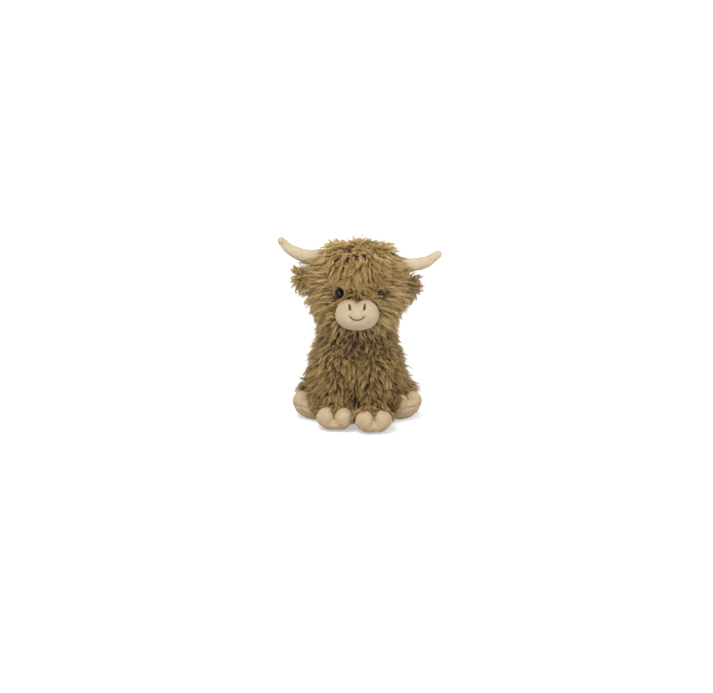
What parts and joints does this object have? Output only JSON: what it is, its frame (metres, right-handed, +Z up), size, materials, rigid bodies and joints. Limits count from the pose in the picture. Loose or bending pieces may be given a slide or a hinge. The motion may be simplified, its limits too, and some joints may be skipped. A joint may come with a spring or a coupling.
{
  "type": "plush cow",
  "caption": "Seated shaggy plush cow with curved cream horns, round cream muzzle, floppy ears, cloven cream hooves and a tufted tail.",
  "frame": {"origin": "on the surface that the toy sits on, below the middle of its overall box", "axes": "+Z up, the toy looks along -Y, +X is the toy's own left"},
  "size_m": [0.2366, 0.197, 0.268],
  "materials": {
    "long_pile": "long wavy golden-brown faux fur",
    "short_pile": "short brown pile",
    "cream_plush": "short cream plush",
    "fibre_fill": "loose polyester fibre",
    "bean_cloth": "plain woven pouch of plastic beans",
    "thread": "dark brown thread",
    "eye_plastic": "polished near-black",
    "washer_plastic": "moulded white"
  },
  "bodies": {
    "torso": {"body_front_pile": "long_pile", "body_back_pile": "long_pile", "seat_panel": "short_pile", "body_fill": "fibre_fill", "bean_pouch": "bean_cloth"},
    "neck": {"neck_seam": "thread"},
    "head": {"head_front_pile": "long_pile", "head_back_pile": "long_pile", "head_fill": "fibre_fill", "forelock": "long_pile", "muzzle": "cream_plush", "muzzle_fill": "fibre_fill", "nostril_left": "thread", "nostril_right": "thread", "mouth_stitch": "thread", "eye_left": "eye_plastic", "eye_right": "eye_plastic", "eye_washer_left": "washer_plastic", "eye_washer_right": "washer_plastic", "horn_left": "cream_plush", "horn_left_fill": "fibre_fill", "horn_right": "cream_plush", "horn_right_fill": "fibre_fill"},
    "ear_left": {"ear_left_pile": "long_pile", "ear_left_lining": "short_pile"},
    "ear_right": {"ear_right_pile": "long_pile", "ear_right_lining": "short_pile"},
    "front_leg_left": {"front_leg_left_pile": "long_pile", "front_leg_left_fill": "fibre_fill", "front_leg_left_hoof": "cream_plush", "front_leg_left_hoof_fill": "fibre_fill"},
    "front_leg_right": {"front_leg_right_pile": "long_pile", "front_leg_right_fill": "fibre_fill", "front_leg_right_hoof": "cream_plush", "front_leg_right_hoof_fill": "fibre_fill"},
    "hind_leg_left": {"hind_leg_left_pile": "long_pile", "hind_leg_left_fill": "fibre_fill", "hind_leg_left_hoof": "cream_plush", "hind_leg_left_hoof_fill": "fibre_fill"},
    "hind_leg_right": {"hind_leg_right_pile": "long_pile", "hind_leg_right_fill": "fibre_fill", "hind_leg_right_hoof": "cream_plush", "hind_leg_right_hoof_fill": "fibre_fill"},
    "tail": {"tail": "long_pile", "tail_tuft": "long_pile"}
  },
  "joints": [
    {"name": "neck_turn", "type": "hinge", "parent": "torso", "child": "neck", "pos_m": [-0.00375, 0.0147, 0.112], "axis": [0, 0, 1], "range_deg": [-20, 20], "stiffness_Nm_per_rad": 0.6},
    {"name": "neck_nod", "type": "hinge", "parent": "neck", "child": "head", "pos_m": [-0.00375, 0.0147, 0.112], "axis": [1, 0, 0], "range_deg": [-12, 12], "stiffness_Nm_per_rad": 1},
    {"name": "ear_left_flap", "type": "hinge", "parent": "head", "child": "ear_left", "pos_m": [0.06397, 0.0087, 0.19305], "axis": [0.3256, 0, 0.9455], "range_deg": [-25, 25], "stiffness_Nm_per_rad": 0.005},
    {"name": "ear_right_flap", "type": "hinge", "parent": "head", "child": "ear_right", "pos_m": [-0.07251, 0.0087, 0.20499], "axis": [-0.1564, 0, 0.9877], "range_deg": [-25, 25], "stiffness_Nm_per_rad": 0.005},
    {"name": "front_leg_left_lift", "type": "hinge", "parent": "torso", "child": "front_leg_left", "pos_m": [0.02625, -0.02775, 0.119], "axis": [-1, 0, 0], "range_deg": [0, 40], "stiffness_Nm_per_rad": 0.05},
    {"name": "front_leg_right_lift", "type": "hinge", "parent": "torso", "child": "front_leg_right", "pos_m": [-0.03375, -0.02775, 0.119], "axis": [-1, 0, 0], "range_deg": [0, 40], "stiffness_Nm_per_rad": 0.05},
    {"name": "hind_leg_left_lift", "type": "hinge", "parent": "torso", "child": "hind_leg_left", "pos_m": [0.05325, 0.0167, 0.06], "axis": [-0.788, -0.6157, 0], "range_deg": [0, 25], "stiffness_Nm_per_rad": 0.05},
    {"name": "hind_leg_right_lift", "type": "hinge", "parent": "torso", "child": "hind_leg_right", "pos_m": [-0.06075, 0.0167, 0.06], "axis": [-0.788, 0.6157, 0], "range_deg": [0, 25], "stiffness_Nm_per_rad": 0.05},
    {"name": "tail_lift", "type": "hinge", "parent": "torso", "child": "tail", "pos_m": [-0.00375, 0.08073, 0.06], "axis": [1, 0, 0], "range_deg": [0, 60], "stiffness_Nm_per_rad": 0.005}
  ]
}
